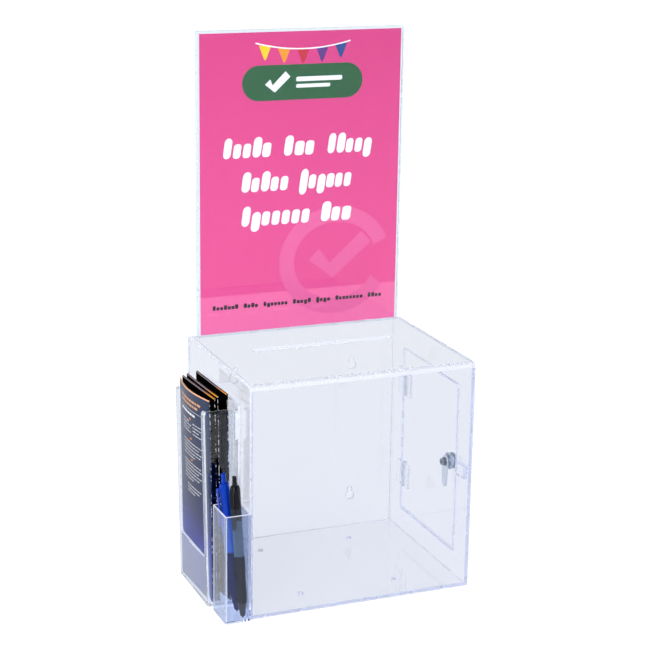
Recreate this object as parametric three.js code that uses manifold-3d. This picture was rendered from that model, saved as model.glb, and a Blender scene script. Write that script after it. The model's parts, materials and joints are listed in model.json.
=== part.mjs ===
// Ballot box of clear acrylic sheet, with a header pocket, a locking side door,
// a leaflet dispenser and a pen holder.
// Millimetres. +X is to the right, +Y to the back, +Z up.
// The origin is the middle of the underside.
import * as THREE from "three";
import { mergeVertices } from "three/addons/utils/BufferGeometryUtils.js";
import Module from "manifold-3d";

const wasm = await Module();
wasm.setup();

// Counts and shared clearances
const arcSegments = 8;
const turnSegments = 20;
const overrun = 2;
const restGap = 0.3;
const runGap = 0.3;

// Box shell
const boxWidth = 226;
const boxDepth = 184;
const boxHeight = 228;
const sheet = 3;
const bendRadius = 6;
const cornerEase = 1.2;

// Posting slot in the top
const slotLength = 146;
const slotWidth = 10;
const slotFromFront = 108;

// Keyhole slots in the back panel
const keyholeSpread = 127;
const keyholeRadius = 4.6;
const keyholeNeckWidth = 4.6;
const keyholeRise = 7.5;
const upperKeyholeDrop = 51.4;
const lowerKeyholeHeight = 35.6;

// Screw holes in the base
const baseHoleSpreadX = 98;
const baseHoleSpreadY = 112;
const baseHoleRadius = 2.5;

// Margins of the right side round its door opening
const frontMargin = 30;
const backMargin = 28;
const bottomMargin = 25;
const topMargin = 30;
const openingRadius = 3;

// Door, flush in its opening
const doorGap = 1;
const doorHingeGap = 2;
const doorFootGap = 2.8;
const doorRadius = 2.5;

// Two leaf hinges on the outside
const hingeHeight = 26;
const hingeLeafWidth = 14.5;
const hingeLeafThickness = 2;
const knuckleRadius = 2.6;
const hingeStandoff = 0.3;
const hingePinRadius = 1;
const hingeLeafRadius = 1.5;
const wallKnuckleShare = 0.4;
const hingeFromDoorEnd = 35;

// Cam lock through the door
const lockFromDoorEdge = 11;
const lockAboveMiddle = 3.6;
const lockHeadRadius = 8;
const lockHeadThickness = 3.2;
const lockHeadEdge = 1.2;
const lockBodyRadius = 6;
const lockBodyReach = 4.2;
const lockThreadPitch = 1;
const lockThreadDepth = 0.5;
const lockHoleGap = 0.3;
const nutAcrossCorners = 17;
const nutThickness = 3;
const coreRadius = 4;
const coreRecess = 0.6;
const keywayLength = 5.6;
const keywayWidth = 1.3;
const keywayDepth = 2.5;
const camThickness = 1.6;
const camReach = 26;
const camRootRadius = 6;
const camTipRadius = 4.2;
const shankSide = 5;
const shankGap = 0.3;
const washerRadius = 4.4;
const washerThickness = 0.6;
const camScrewHeadRadius = 3.4;
const camScrewHeadThickness = 2.4;
const camScrewRadius = 1.5;
const camScrewLength = 6;
const recessLength = 3.6;
const recessWidth = 0.9;
const recessDepth = 1.2;

// Catch block behind the door's front edge
const catchThickness = 4;
const catchLength = 18;
const catchHeight = 13;
const catchFromFront = 5;
const catchCorner = 1;

// Header pocket folded from clear sheet, sunk between the top's end and the back panel,
// and the poster in it
const posterWidth = 210;
const posterHeight = 297;
const posterThickness = 0.4;
const pocketWidth = 215.6;
const pocketHeight = 303;
const pocketShift = 3;
const pocketSink = 5.2;
const pocketBackSheet = 3;
const pocketFrontSheet = 2;
const pocketGap = 1.2;
const pocketFold = 3.2;
const pocketFoldRadius = 1.2;
const pocketCornerRadius = 2;

// Leaflet dispenser on the left side
const trayFromFront = 40;
const trayWidth = 86.5;
const trayBelowTop = 32;
const trayTopDepth = 32;
const trayFootDepth = 28;
const trayWall = 2;
const trayFloor = 2.5;
const trayLift = 0.5;
const trayCornerRadius = 3;
const trayTopRadius = 6;
const trayInnerCornerRadius = 1.5;
const windowSill = 48;
const windowBorder = 7.6;
const windowRadius = 4;
const plateThickness = 2.5;
const plateBelowTop = 27;
const wingWidth = 12;
const wingCorner = 3;
const wingHoleRadius = 2.4;
const wingHoleDrop = 12;
const wingAbovePens = 1;
const tabHeight = 27;
const tabWidth = 3;
const tabDepth = 2.5;
const tabDrop = 5;

// Leaflets: shares of the tallest one's height, of the tray's top depth for the top
// front and back edges and the bow between them, and of a leaflet's usual thickness
const leafletWidth = 80;
const leafletHeight = 205.5;
const leafletThickness = 1.2;
const leafletLean = 2.5;
const leafletSteps = 12;
const leafletShares = [
  { name: "leaflet_front", height: 0.976, front: 0.77, back: 0.856, bow: 0.175, pages: 0.85 },
  { name: "leaflet_second", height: 0.985, front: 0.613, back: 0.775, bow: 0.012, pages: 1 },
  { name: "leaflet_third", height: 0.993, front: 0.522, back: 0.638, bow: 0.018, pages: 1 },
  { name: "leaflet_rear", height: 1, front: 0.231, back: 0.338, bow: 0.01, pages: 1.33 },
];

// Pen holder at the front left corner
const penBoxWidth = 36;
const penBoxDepth = 25.5;
const penBoxHeight = 106;
const penBoxAhead = 2.5;
const penBoxWall = 1.8;
const penBoxFloor = 1.8;
const penBoxLift = 0.3;
const penBoxRadius = 1.5;

// Retractable pen, measured from its point
const penPointRadius = 0.4;
const penPointLength = 2.2;
const refillRadius = 1.5;
const refillTop = 116;
const noseMouthRadius = 1.9;
const noseLength = 15;
const noseRadius = 4.3;
const noseBoreRadius = 1.85;
const gripTop = 60;
const gripRadius = 5;
const gripWaist = 0.35;
const gripBead = 0.3;
const barrelCoreRadius = 3.7;
const barrelRadius = 4.8;
const barrelBoreRadius = 2.5;
const barrelTop = 95;
const spigotLength = 7;
const upperTop = 127;
const upperRadius = 4.9;
const upperShoulder = 4;
const upperShoulderRadius = 4.1;
const upperBoreRadius = 3.5;
const plungerRadius = 2.5;
const plungerTipRadius = 2.1;
const plungerTop = 136.5;
const plungerStep = 3;
const clipLength = 36;
const clipWidth = 3.6;
const clipThickness = 1.3;
const clipReach = 7.8;
const clipRoot = 3;
const clipBall = 0.9;

// Where each pen's point and top stand, as shares of the holder's depth and width
const pens = [
  {
    name: "blue_pen",
    pointShare: { depth: 0.271, width: 0.569 },
    topShare: { depth: 0.69, width: 0.806 },
    clipTurnShare: 0.5,
    color: 0x1b3fc4,
    gripColor: 0x1a2c66,
    barrelColor: 0x2f7fd6,
  },
  {
    name: "black_pen",
    pointShare: { depth: 0.259, width: 0.156 },
    topShare: { depth: 0.4, width: 0.525 },
    clipTurnShare: 0.62,
    color: 0x15161a,
    gripColor: 0x24272d,
    barrelColor: 0x66777a,
  },
];

// Places worked out from the sizes above
const left = -boxWidth / 2;
const right = boxWidth / 2;
const front = -boxDepth / 2;
const back = boxDepth / 2;
const doorFront = front + frontMargin + doorGap;
const doorBack = back - backMargin - doorHingeGap;
const doorBottom = bottomMargin + doorFootGap;
const doorTop = boxHeight - topMargin - doorGap;
const hingeY = back - backMargin - doorHingeGap / 2;
const hingeX = right + hingeStandoff + knuckleRadius;
const lockY = doorFront + lockFromDoorEdge;
const lockHeight = (doorBottom + doorTop) / 2 + lockAboveMiddle;
const trayFront = front + trayFromFront;
const trayBack = trayFront + trayWidth;
const trayRim = boxHeight - trayBelowTop;

// Materials
const acrylic = new THREE.MeshStandardMaterial({
  color: 0xe4e9f5,
  roughness: 0.08,
  transparent: true,
  opacity: 0.3,
});
const chrome = new THREE.MeshStandardMaterial({ color: 0xc9d2dc, roughness: 0.15, metalness: 1 });
const steel = new THREE.MeshStandardMaterial({ color: 0xb4bcc6, roughness: 0.3, metalness: 1 });
const poster = new THREE.MeshStandardMaterial({ color: 0xee5f9d, roughness: 0.6 });
const leafletPaper = new THREE.MeshStandardMaterial({ color: 0x262b3d, roughness: 0.45 });
const refillPlastic = new THREE.MeshStandardMaterial({ color: 0xdadfe4, roughness: 0.4 });
const plastic = (color) => new THREE.MeshStandardMaterial({ color, roughness: 0.3 });
const clearPlastic = (color) =>
  new THREE.MeshStandardMaterial({ color, roughness: 0.15, transparent: true, opacity: 0.6 });
const rubber = (color) => new THREE.MeshStandardMaterial({ color, roughness: 0.75 });

// Exact quarter turns: an outline drawn on two axes is pushed along the third
const alongX = new THREE.Matrix4().set(0, 0, 1, 0, 1, 0, 0, 0, 0, 1, 0, 0, 0, 0, 0, 1);
const alongMinusY = new THREE.Matrix4().set(1, 0, 0, 0, 0, 0, -1, 0, 0, 1, 0, 0, 0, 0, 0, 1);
const alongZ = new THREE.Matrix4();
// A turned profile stands on Y: these lay its axis along X or stand it on Z
const turnedOnX = new THREE.Matrix4().set(0, 1, 0, 0, 0, 0, 1, 0, 1, 0, 0, 0, 0, 0, 0, 1);
const turnedOnZ = new THREE.Matrix4().set(0, 0, 1, 0, 1, 0, 0, 0, 0, 1, 0, 0, 0, 0, 0, 1);

// A closed geometry as a solid that can be cut and joined
function solidOf(geometry) {
  geometry.deleteAttribute("normal");
  geometry.deleteAttribute("uv");
  const merged = mergeVertices(geometry);
  const corners = [];
  for (let i = 0; i < merged.index.count; i += 3) {
    const [a, b, c] = [0, 1, 2].map((k) => merged.index.getX(i + k));
    if (a !== b && b !== c && c !== a) corners.push(a, b, c);
  }
  return new wasm.Manifold(
    new wasm.Mesh({
      numProp: 3,
      vertProperties: merged.attributes.position.array,
      triVerts: new Uint32Array(corners),
    }),
  );
}

// An outline pushed to a depth, from a start along the axis it is pushed on
function pushed(shape, depth, matrix, start) {
  const geometry = new THREE.ExtrudeGeometry(shape, {
    depth,
    bevelEnabled: false,
    curveSegments: arcSegments,
  });
  geometry.translate(0, 0, start);
  geometry.applyMatrix4(matrix);
  return solidOf(geometry);
}

// Slabs between two stated faces: outlines are (y, z), (x, z) and (x, y)
const slabX = (shape, x0, x1) => pushed(shape, x1 - x0, alongX, x0);
const slabY = (shape, y0, y1) => pushed(shape, y1 - y0, alongMinusY, -y1);
const slabZ = (shape, z0, z1) => pushed(shape, z1 - z0, alongZ, z0);

// A profile of [radius, height] pairs turned round its axis
function turned(profile, matrix, segments = turnSegments) {
  const points = profile.map(([r, h]) => new THREE.Vector2(r, h));
  const geometry = new THREE.LatheGeometry(points, segments);
  geometry.applyMatrix4(matrix);
  return solidOf(geometry);
}

// A round rod between two heights on its axis
function rod(radius, from, to, matrix, segments) {
  const profile = [
    [0, from],
    [radius, from],
    [radius, to],
    [0, to],
  ];
  return turned(profile, matrix, segments);
}

// A rectangle with one radius for each corner, from the low corner anticlockwise
function rectangle(x0, y0, x1, y1, radii = [0, 0, 0, 0], PathType = THREE.Shape) {
  const [a, b, c, d] = radii;
  const path = new PathType();
  path.moveTo(x0 + a, y0);
  path.lineTo(x1 - b, y0);
  if (b) path.absarc(x1 - b, y0 + b, b, -Math.PI / 2, 0, false);
  path.lineTo(x1, y1 - c);
  if (c) path.absarc(x1 - c, y1 - c, c, 0, Math.PI / 2, false);
  path.lineTo(x0 + d, y1);
  if (d) path.absarc(x0 + d, y1 - d, d, Math.PI / 2, Math.PI, false);
  path.lineTo(x0, y0 + a);
  if (a) path.absarc(x0 + a, y0 + a, a, Math.PI, 1.5 * Math.PI, false);
  path.closePath();
  return path;
}
const allCorners = (radius) => [radius, radius, radius, radius];

function circle(x, y, radius, PathType = THREE.Path) {
  const path = new PathType();
  path.absarc(x, y, radius, 0, 2 * Math.PI, false);
  return path;
}

// A closed body through rings of equal point counts, lowest ring first
function lofted(rings) {
  const count = rings[0].length;
  const positions = [];
  const at = (ring, i) => positions.push(ring[i % count].x, ring[i % count].y, ring[i % count].z);
  for (let level = 0; level + 1 < rings.length; level++) {
    for (let i = 0; i < count; i++) {
      const [low, high] = [rings[level], rings[level + 1]];
      at(low, i);
      at(low, i + 1);
      at(high, i + 1);
      at(low, i);
      at(high, i + 1);
      at(high, i);
    }
  }
  const cap = (ring, flip) => {
    const flat = ring.map((p) => new THREE.Vector2(p.x, p.y));
    for (const [a, b, c] of THREE.ShapeUtils.triangulateShape(flat, [])) {
      at(ring, a);
      at(ring, flip ? c : b);
      at(ring, flip ? b : c);
    }
  };
  cap(rings[0], true);
  cap(rings[rings.length - 1], false);
  const geometry = new THREE.BufferGeometry();
  geometry.setAttribute("position", new THREE.Float32BufferAttribute(positions, 3));
  return solidOf(geometry);
}

// A named mesh of a solid
function piece(name, solid, material) {
  const { vertProperties, triVerts } = solid.getMesh();
  const geometry = new THREE.BufferGeometry();
  geometry.setAttribute("position", new THREE.BufferAttribute(vertProperties, 3));
  geometry.setIndex(new THREE.BufferAttribute(triVerts, 1));
  geometry.computeVertexNormals();
  const mesh = new THREE.Mesh(geometry, material);
  mesh.name = name;
  return mesh;
}

const ballotBox = new THREE.Group();

// Header pocket's faces: it stands against the back panel, and the top ends at its front
const pocketBackFace = back - sheet;
const pocketSlotBack = pocketBackFace - pocketBackSheet;
const pocketSlotFront = pocketSlotBack - pocketGap;
const pocketFrontFace = pocketSlotFront - pocketFrontSheet;
const pocketFoot = boxHeight - pocketSink;

// Front and top: one sheet with a rounded fold, and the posting slot
function frontTopPanel() {
  const innerRadius = bendRadius - sheet;
  const bendY = front + bendRadius;
  const bendZ = boxHeight - bendRadius;
  const profile = new THREE.Shape();
  profile.moveTo(front, 0);
  profile.lineTo(front, bendZ);
  profile.absarc(bendY, bendZ, bendRadius, Math.PI, Math.PI / 2, true);
  profile.lineTo(pocketFrontFace, boxHeight);
  profile.lineTo(pocketFrontFace, boxHeight - sheet);
  profile.lineTo(bendY, boxHeight - sheet);
  profile.absarc(bendY, bendZ, innerRadius, Math.PI / 2, Math.PI, false);
  profile.lineTo(front + sheet, 0);
  profile.closePath();
  const slotY = front + slotFromFront;
  const slot = rectangle(
    -slotLength / 2,
    slotY - slotWidth / 2,
    slotLength / 2,
    slotY + slotWidth / 2,
    allCorners(slotWidth / 2),
  );
  const cutter = slabZ(slot, boxHeight - sheet - overrun, boxHeight + overrun);
  return slabX(profile, left, right).subtract(cutter);
}
ballotBox.add(piece("front_top_panel", frontTopPanel(), acrylic));

// A keyhole slot: the screw head enters the round end and the shank rides up the neck
function keyhole(x, z) {
  const halfNeck = keyholeNeckWidth / 2;
  const meet = Math.asin(halfNeck / keyholeRadius);
  const path = new THREE.Path();
  path.moveTo(x + halfNeck, z + keyholeRadius * Math.cos(meet));
  path.lineTo(x + halfNeck, z + keyholeRise);
  path.absarc(x, z + keyholeRise, halfNeck, 0, Math.PI, false);
  path.lineTo(x - halfNeck, z + keyholeRadius * Math.cos(meet));
  path.absarc(x, z, keyholeRadius, Math.PI / 2 + meet, 2.5 * Math.PI - meet, false);
  return path;
}

function backPanel() {
  const shape = rectangle(left + sheet, 0, right - sheet, boxHeight - sheet);
  for (const side of [-1, 1]) {
    for (const height of [boxHeight - upperKeyholeDrop, lowerKeyholeHeight]) {
      shape.holes.push(keyhole((side * keyholeSpread) / 2, height));
    }
  }
  return slabY(shape, back - sheet, back);
}
ballotBox.add(piece("back_panel", backPanel(), acrylic));

// Side panels stand behind the front sheet, their top front corner eased under its fold
function sideOutline() {
  const corner = bendRadius - sheet + cornerEase;
  return rectangle(front + sheet, 0, back, boxHeight - sheet, [0, 0, 0, corner]);
}

ballotBox.add(piece("left_side_panel", slabX(sideOutline(), left, left + sheet), acrylic));

function rightSidePanel() {
  const shape = sideOutline();
  shape.holes.push(
    rectangle(
      front + frontMargin,
      bottomMargin,
      back - backMargin,
      boxHeight - topMargin,
      allCorners(openingRadius),
      THREE.Path,
    ),
  );
  return slabX(shape, right - sheet, right);
}
ballotBox.add(piece("right_side_panel", rightSidePanel(), acrylic));

function basePanel() {
  const shape = rectangle(left + sheet, front + sheet, right - sheet, back - sheet);
  for (const sideX of [-1, 1]) {
    for (const sideY of [-1, 1]) {
      const x = (sideX * baseHoleSpreadX) / 2;
      const y = (sideY * baseHoleSpreadY) / 2;
      shape.holes.push(circle(x, y, baseHoleRadius));
    }
  }
  return slabZ(shape, 0, sheet);
}
ballotBox.add(piece("base_panel", basePanel(), acrylic));

// Header pocket: one sheet folded into a narrow U, its foot cut to clear the right side
function headerPocket() {
  const rim = pocketFoot + pocketHeight;
  const sideTop = boxHeight - sheet;
  const profile = rectangle(
    pocketFrontFace,
    pocketFoot,
    pocketBackFace,
    rim,
    [pocketFoldRadius, pocketFoldRadius, 0, 0],
  );
  const slot = rectangle(pocketSlotFront, pocketFoot + pocketFold, pocketSlotBack, rim + overrun);
  const x0 = pocketShift - pocketWidth / 2;
  const x1 = pocketShift + pocketWidth / 2;
  const face = rectangle(x0, pocketFoot, x1, rim, [0, 0, pocketCornerRadius, pocketCornerRadius]);
  const notch = rectangle(right - sheet, pocketFoot - overrun, x1 + overrun, sideTop);
  const y0 = pocketFrontFace - overrun;
  const y1 = pocketBackFace + overrun;
  return slabX(profile, x0, x1)
    .subtract(slabX(slot, x0 - overrun, x1 + overrun))
    .intersect(slabY(face, y0, y1))
    .subtract(slabY(notch, y0, y1));
}
ballotBox.add(piece("header_pocket", headerPocket(), acrylic));

function posterSheet() {
  const foot = pocketFoot + pocketFold + restGap;
  const y = (pocketSlotFront + pocketSlotBack) / 2;
  const shape = rectangle(
    pocketShift - posterWidth / 2,
    foot,
    pocketShift + posterWidth / 2,
    foot + posterHeight,
  );
  return slabY(shape, y - posterThickness / 2, y + posterThickness / 2);
}
ballotBox.add(piece("poster_sheet", posterSheet(), poster));

// Door panel with the lock's hole
function doorPanel() {
  const shape = rectangle(doorFront, doorBottom, doorBack, doorTop, allCorners(doorRadius));
  shape.holes.push(circle(lockY, lockHeight, lockBodyRadius + lockHoleGap));
  return slabX(shape, right - sheet, right);
}
ballotBox.add(piece("door_panel", doorPanel(), acrylic));

// One hinge: the wall leaf has the middle knuckle, the door leaf the outer two
function hinge(name, height) {
  const low = height - hingeHeight / 2;
  const high = height + hingeHeight / 2;
  const wallLow = height - (wallKnuckleShare * hingeHeight) / 2;
  const wallHigh = height + (wallKnuckleShare * hingeHeight) / 2;
  const onAxis = (solid) => solid.translate([hingeX, hingeY, 0]);
  const knuckle = (z0, z1) => onAxis(rod(knuckleRadius, z0, z1, turnedOnZ));
  const sweep = (z0, z1) => onAxis(rod(knuckleRadius + runGap, z0, z1, turnedOnZ));
  const bore = onAxis(rod(hingePinRadius + runGap, low - overrun, high + overrun, turnedOnZ));
  const plate = (y0, y1, radii) =>
    slabX(rectangle(y0, low, y1, high, radii), right, right + hingeLeafThickness);
  const wallLeaf = plate(hingeY, hingeY + hingeLeafWidth, [0, hingeLeafRadius, hingeLeafRadius, 0])
    .subtract(sweep(low - overrun, wallLow))
    .subtract(sweep(wallHigh, high + overrun))
    .add(knuckle(wallLow, wallHigh))
    .subtract(bore);
  const doorLeaf = plate(hingeY - hingeLeafWidth, hingeY, [hingeLeafRadius, 0, 0, hingeLeafRadius])
    .subtract(sweep(wallLow - runGap, wallHigh + runGap))
    .add(knuckle(low, wallLow - runGap))
    .add(knuckle(wallHigh + runGap, high))
    .subtract(bore);
  const pin = onAxis(rod(hingePinRadius, low, high, turnedOnZ));
  ballotBox.add(piece(name + "_wall_leaf", wallLeaf, acrylic));
  ballotBox.add(piece(name + "_door_leaf", doorLeaf, acrylic));
  ballotBox.add(piece(name + "_pin", pin, steel));
}
hinge("hinge_upper", doorTop - hingeFromDoorEnd);
hinge("hinge_lower", doorBottom + hingeFromDoorEnd);

// Faces along the lock's axis, from the outside in
const doorInnerFace = right - sheet;
const headFace = right + lockHeadThickness;
const bodyEnd = doorInnerFace - lockBodyReach;
const coreEnd = bodyEnd - runGap;
const camOuterFace = coreEnd - runGap;
const camInnerFace = camOuterFace - camThickness;
const washerInnerFace = camInnerFace - restGap - washerThickness;
const screwHeadOuterFace = washerInnerFace - restGap;
const screwHeadInnerFace = screwHeadOuterFace - camScrewHeadThickness;
const screwTip = screwHeadOuterFace + camScrewLength;
const onLock = (solid) => solid.translate([0, lockY, lockHeight]);

// Lock housing: a domed head outside and a threaded body through the door
function lockHousing() {
  const boreRadius = coreRadius + runGap;
  const profile = [
    [boreRadius, bodyEnd],
    [lockBodyRadius - lockThreadDepth, bodyEnd],
  ];
  for (let x = bodyEnd + lockThreadPitch; x < right - lockThreadPitch; x += lockThreadPitch) {
    profile.push([lockBodyRadius, x - lockThreadPitch / 2]);
    profile.push([lockBodyRadius - lockThreadDepth, x]);
  }
  profile.push([lockBodyRadius, right]);
  profile.push([lockHeadRadius, right]);
  profile.push([lockHeadRadius, headFace - lockHeadEdge]);
  profile.push([lockHeadRadius - lockHeadEdge, headFace]);
  profile.push([boreRadius, headFace]);
  profile.push([boreRadius, bodyEnd]);
  return onLock(turned(profile, turnedOnX));
}
ballotBox.add(piece("lock_housing", lockHousing(), chrome));

function lockNut() {
  const nutFace = doorInnerFace - restGap;
  const body = rod(nutAcrossCorners / 2, nutFace - nutThickness, nutFace, turnedOnX, 6);
  const bore = rod(lockBodyRadius + lockHoleGap, bodyEnd - overrun, right, turnedOnX);
  return onLock(body.subtract(bore));
}
ballotBox.add(piece("lock_nut", lockNut(), chrome));

// A square bar on the lock's axis
const squareBar = (side, x0, x1) =>
  slabX(rectangle(-side / 2, -side / 2, side / 2, side / 2), x0, x1);

// Lock core with its keyway, the square shank that turns the cam, and the screw's hole
function lockCylinder() {
  const coreFace = headFace - coreRecess;
  const keyway = rectangle(-keywayWidth / 2, -keywayLength / 2, keywayWidth / 2, keywayLength / 2);
  const core = rod(coreRadius, coreEnd, coreFace, turnedOnX)
    .add(squareBar(shankSide, camInnerFace, coreEnd + restGap))
    .subtract(slabX(keyway, coreFace - keywayDepth, coreFace + overrun))
    .subtract(rod(camScrewRadius + runGap, camInnerFace - overrun, screwTip + restGap, turnedOnX));
  return onLock(core);
}
ballotBox.add(piece("lock_cylinder", lockCylinder(), steel));

// The cam hangs down when the lock is open
function lockCam() {
  const tipZ = -camReach + camTipRadius;
  const shape = new THREE.Shape();
  shape.absarc(0, 0, camRootRadius, 0, Math.PI, false);
  shape.lineTo(-camTipRadius, tipZ);
  shape.absarc(0, tipZ, camTipRadius, Math.PI, 2 * Math.PI, false);
  shape.closePath();
  const hole = squareBar(shankSide + 2 * shankGap, camInnerFace - overrun, camOuterFace + overrun);
  return onLock(slabX(shape, camInnerFace, camOuterFace).subtract(hole));
}
ballotBox.add(piece("lock_cam", lockCam(), chrome));

function camWasher() {
  const disc = rod(washerRadius, washerInnerFace, washerInnerFace + washerThickness, turnedOnX);
  const bore = rod(
    camScrewRadius + runGap,
    washerInnerFace - overrun,
    camInnerFace,
    turnedOnX,
  );
  return onLock(disc.subtract(bore));
}
ballotBox.add(piece("cam_washer", camWasher(), steel));

function camScrew() {
  const head = rod(camScrewHeadRadius, screwHeadInnerFace, screwHeadOuterFace, turnedOnX);
  const thread = rod(camScrewRadius, screwHeadInnerFace, screwTip, turnedOnX);
  const bar = (halfY, halfZ) =>
    slabX(
      rectangle(-halfY, -halfZ, halfY, halfZ),
      screwHeadInnerFace - overrun,
      screwHeadInnerFace + recessDepth,
    );
  const cross = bar(recessLength / 2, recessWidth / 2).add(bar(recessWidth / 2, recessLength / 2));
  return onLock(head.add(thread).subtract(cross));
}
ballotBox.add(piece("cam_screw", camScrew(), steel));

// Catch block on the fixed margin: the cam turns in behind it
function catchBlock() {
  const y0 = front + catchFromFront;
  const shape = rectangle(
    y0,
    lockHeight - catchHeight / 2,
    y0 + catchLength,
    lockHeight + catchHeight / 2,
    allCorners(catchCorner),
  );
  return slabX(shape, doorInnerFace - catchThickness, doorInnerFace);
}
ballotBox.add(piece("catch_block", catchBlock(), acrylic));

// A ring of points round a rectangle with two rounded corners on its outer side
function trayRing(depth, inset, z, radius) {
  const x0 = left - depth + inset;
  const x1 = left - (inset ? plateThickness : 0);
  const outline = rectangle(
    x0,
    trayFront + inset,
    x1,
    trayBack - inset,
    [radius, 0, 0, radius],
  );
  const points = outline.getPoints(arcSegments).slice(0, -1);
  return points.map((p) => new THREE.Vector3(p.x, p.y, z));
}

// How deep the tray is at a height: it opens out to the top
const trayDepth = (z) =>
  trayFootDepth + ((trayTopDepth - trayFootDepth) * (z - trayLift)) / (trayRim - trayLift);

// Leaflet dispenser: a tapered tray with an open front, on a back plate with two wings
function leafletDispenser() {
  const floor = trayLift + trayFloor;
  const above = trayRim + overrun;
  const outer = lofted([
    trayRing(trayDepth(trayLift), 0, trayLift, trayCornerRadius),
    trayRing(trayTopDepth, 0, trayRim, trayCornerRadius),
  ]);
  const inner = lofted([
    trayRing(trayDepth(floor), trayWall, floor, trayInnerCornerRadius),
    trayRing(trayDepth(above), trayWall, above, trayInnerCornerRadius),
  ]);
  const outermost = left - trayTopDepth - overrun;
  const window = slabX(
    rectangle(
      trayFront + windowBorder,
      windowSill,
      trayBack - windowBorder,
      above,
      [windowRadius, windowRadius, 0, 0],
    ),
    outermost,
    left - trayFootDepth / 2,
  );
  const topCorners = [0, 0, trayTopRadius, trayTopRadius];
  const fromFront = slabX(rectangle(trayFront, 0, trayBack, trayRim, topCorners), outermost, left);
  const fromSide = slabY(
    rectangle(left - trayTopDepth, 0, left, trayRim, [0, 0, 0, trayTopRadius]),
    trayFront - overrun,
    trayBack + overrun,
  );
  return outer.subtract(inner).subtract(window).intersect(fromFront).intersect(fromSide)
    .add(backPlate());
}

// Back plate: its front wing stops above the pen holder, and each wing has a screw hole
function backPlate() {
  const plateTop = boxHeight - plateBelowTop;
  const wingFoot = penBoxLift + penBoxHeight + wingAbovePens;
  const y0 = trayFront - wingWidth;
  const y1 = trayBack + wingWidth;
  const shape = new THREE.Shape();
  shape.moveTo(trayFront, trayLift);
  shape.lineTo(y1 - wingCorner, trayLift);
  shape.absarc(y1 - wingCorner, trayLift + wingCorner, wingCorner, -Math.PI / 2, 0, false);
  shape.lineTo(y1, plateTop - wingCorner);
  shape.absarc(y1 - wingCorner, plateTop - wingCorner, wingCorner, 0, Math.PI / 2, false);
  shape.lineTo(y0 + wingCorner, plateTop);
  shape.absarc(y0 + wingCorner, plateTop - wingCorner, wingCorner, Math.PI / 2, Math.PI, false);
  shape.lineTo(y0, wingFoot);
  shape.lineTo(trayFront, wingFoot);
  shape.closePath();
  const holeZ = plateTop - wingHoleDrop;
  shape.holes.push(circle(trayFront - wingWidth / 2, holeZ, wingHoleRadius));
  shape.holes.push(circle(trayBack + wingWidth / 2, holeZ, wingHoleRadius));
  const tabTop = plateTop - tabDrop;
  const tab = slabX(
    rectangle(y0, tabTop - tabHeight, y0 + tabWidth, tabTop),
    left - plateThickness - tabDepth,
    left,
  );
  return slabX(shape, left - plateThickness, left).add(tab);
}
ballotBox.add(piece("leaflet_dispenser", leafletDispenser(), acrylic));

// A leaflet stands on the tray's floor, leans out and bows more towards its top
function leafletSolid(shares) {
  const y0 = (trayFront + trayBack - leafletWidth) / 2;
  const foot = trayLift + trayFloor + restGap;
  const height = shares.height * leafletHeight;
  const thickness = shares.pages * leafletThickness;
  const ring = (level) => {
    const side = (offset) => {
      const points = [];
      for (let i = 0; i <= leafletSteps; i++) {
        const share = i / leafletSteps;
        const swell = shares.bow * level * Math.sin(Math.PI * share);
        const depthShare = shares.front + (shares.back - shares.front) * share + swell;
        const depth = depthShare * trayTopDepth - leafletLean * (1 - level);
        const y = y0 + leafletWidth * share;
        points.push(new THREE.Vector3(left - depth - offset, y, foot + height * level));
      }
      return points;
    };
    return [...side(-thickness / 2), ...side(thickness / 2).reverse()];
  };
  return lofted([ring(0), ring(1)]);
}
for (const shares of leafletShares) {
  ballotBox.add(piece(shares.name, leafletSolid(shares), leafletPaper));
}

// Pen holder: a plain box with an open top, its front just ahead of the front panel
function penHolder() {
  const foot = penBoxLift;
  const rim = foot + penBoxHeight;
  const outline = (inset, radius) =>
    rectangle(
      left - penBoxDepth + inset,
      front - penBoxAhead + inset,
      left - inset,
      front - penBoxAhead + penBoxWidth - inset,
      allCorners(radius),
    );
  const outer = slabZ(outline(0, penBoxRadius), foot, rim);
  const inner = slabZ(outline(penBoxWall, penBoxRadius / 2), foot + penBoxFloor, rim + overrun);
  return outer.subtract(inner);
}
ballotBox.add(piece("pen_holder", penHolder(), acrylic));

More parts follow.
